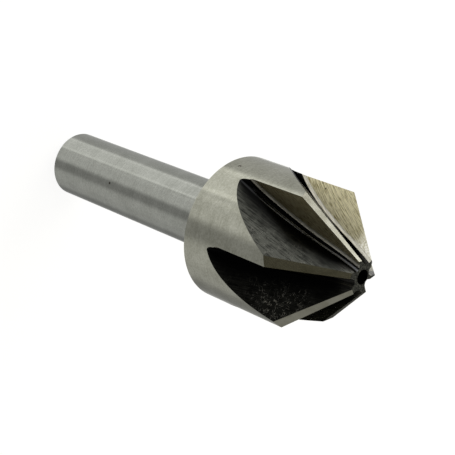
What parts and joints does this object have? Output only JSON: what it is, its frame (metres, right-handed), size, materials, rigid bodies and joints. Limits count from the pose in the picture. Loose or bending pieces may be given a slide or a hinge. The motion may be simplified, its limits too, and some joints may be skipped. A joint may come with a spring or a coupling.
{
  "type": "countersink",
  "caption": "Countersink with a 90 degree fluted cone head, a flat tip with a small centre hole, and a plain cylindrical shank.",
  "frame": {"origin": "centre of the shank's end face, on which the tool stands", "axes": "+Z along the tool axis from the shank's end to the cutting tip, +X through one of the cutting edges"},
  "size_m": [0.025, 0.025, 0.0732],
  "materials": {
    "tool_steel": "ground bright on the shank, head and cutting faces, blackened in the milled flutes"
  },
  "bodies": {
    "root": {"countersink": "tool_steel"}
  },
  "joints": []
}
